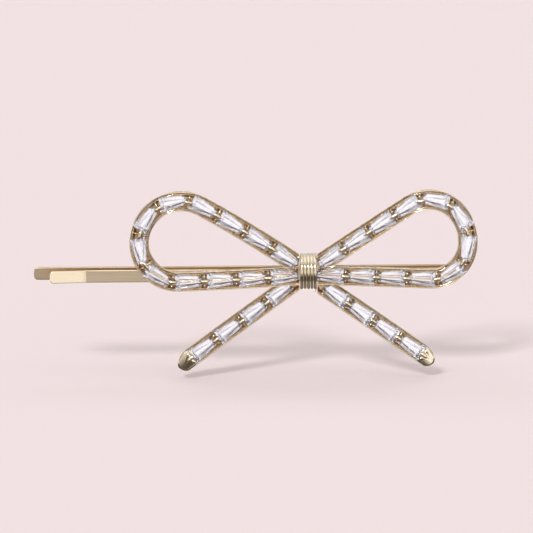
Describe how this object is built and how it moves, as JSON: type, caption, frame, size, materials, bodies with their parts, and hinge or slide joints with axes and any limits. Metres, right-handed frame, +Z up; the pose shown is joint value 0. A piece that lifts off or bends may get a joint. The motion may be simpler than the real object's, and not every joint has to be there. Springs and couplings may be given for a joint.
{
  "type": "bow hair clip",
  "caption": "Bow-shaped hair clip: tapered baguette crystals claw-set in pale gold ribbon frames with a wire-wrapped knot, soldered to a sprung gold bobby pin.",
  "frame": {"origin": "middle of the gap between the pin's two legs, straight behind the knot, at half the strip's width", "axes": "+X along the pin from its open end towards its bend; -Y out of the bow's front face; +Z up across the strip, towards the tops of the loops"},
  "size_m": [0.0742, 0.0083, 0.0307],
  "materials": {
    "setting_gold": "polished pale champagne gold plating on a cast setting",
    "crystal": "clear faceted crystal glass, unfoiled, open back",
    "knot_gold": "polished pale gold wire",
    "pin_gold": "satin pale gold plating on spring steel strip",
    "solder": "plated solder fillet"
  },
  "bodies": {
    "bow": {"left_loop_frame": "setting_gold", "left_loop_stone_01": "crystal", "left_loop_stone_02": "crystal", "left_loop_stone_03": "crystal", "left_loop_stone_04": "crystal", "left_loop_stone_05": "crystal", "left_loop_stone_06": "crystal", "left_loop_stone_07": "crystal", "left_loop_stone_08": "crystal", "left_loop_stone_09": "crystal", "left_loop_stone_10": "crystal", "left_loop_stone_11": "crystal", "left_loop_stone_12": "crystal", "right_loop_frame": "setting_gold", "right_loop_stone_01": "crystal", "right_loop_stone_02": "crystal", "right_loop_stone_03": "crystal", "right_loop_stone_04": "crystal", "right_loop_stone_05": "crystal", "right_loop_stone_06": "crystal", "right_loop_stone_07": "crystal", "right_loop_stone_08": "crystal", "right_loop_stone_09": "crystal", "right_loop_stone_10": "crystal", "right_loop_stone_11": "crystal", "right_loop_stone_12": "crystal", "left_tail_frame": "setting_gold", "left_tail_stone_01": "crystal", "left_tail_stone_02": "crystal", "left_tail_stone_03": "crystal", "left_tail_stone_04": "crystal", "right_tail_frame": "setting_gold", "right_tail_stone_01": "crystal", "right_tail_stone_02": "crystal", "right_tail_stone_03": "crystal", "right_tail_stone_04": "crystal", "knot_wrap": "knot_gold", "solder_left": "solder", "solder_right": "solder", "pin_front_leg": "pin_gold"},
    "rear_leg": {"pin_rear_leg": "pin_gold"}
  },
  "joints": [
    {"name": "pin_opening", "type": "hinge", "parent": "bow", "child": "rear_leg", "pos_m": [0.023, 0.00155, 0], "axis": [0, 0, -1], "range_deg": [0, 10], "stiffness_Nm_per_rad": 0.05, "springref_deg": -5.73}
  ]
}
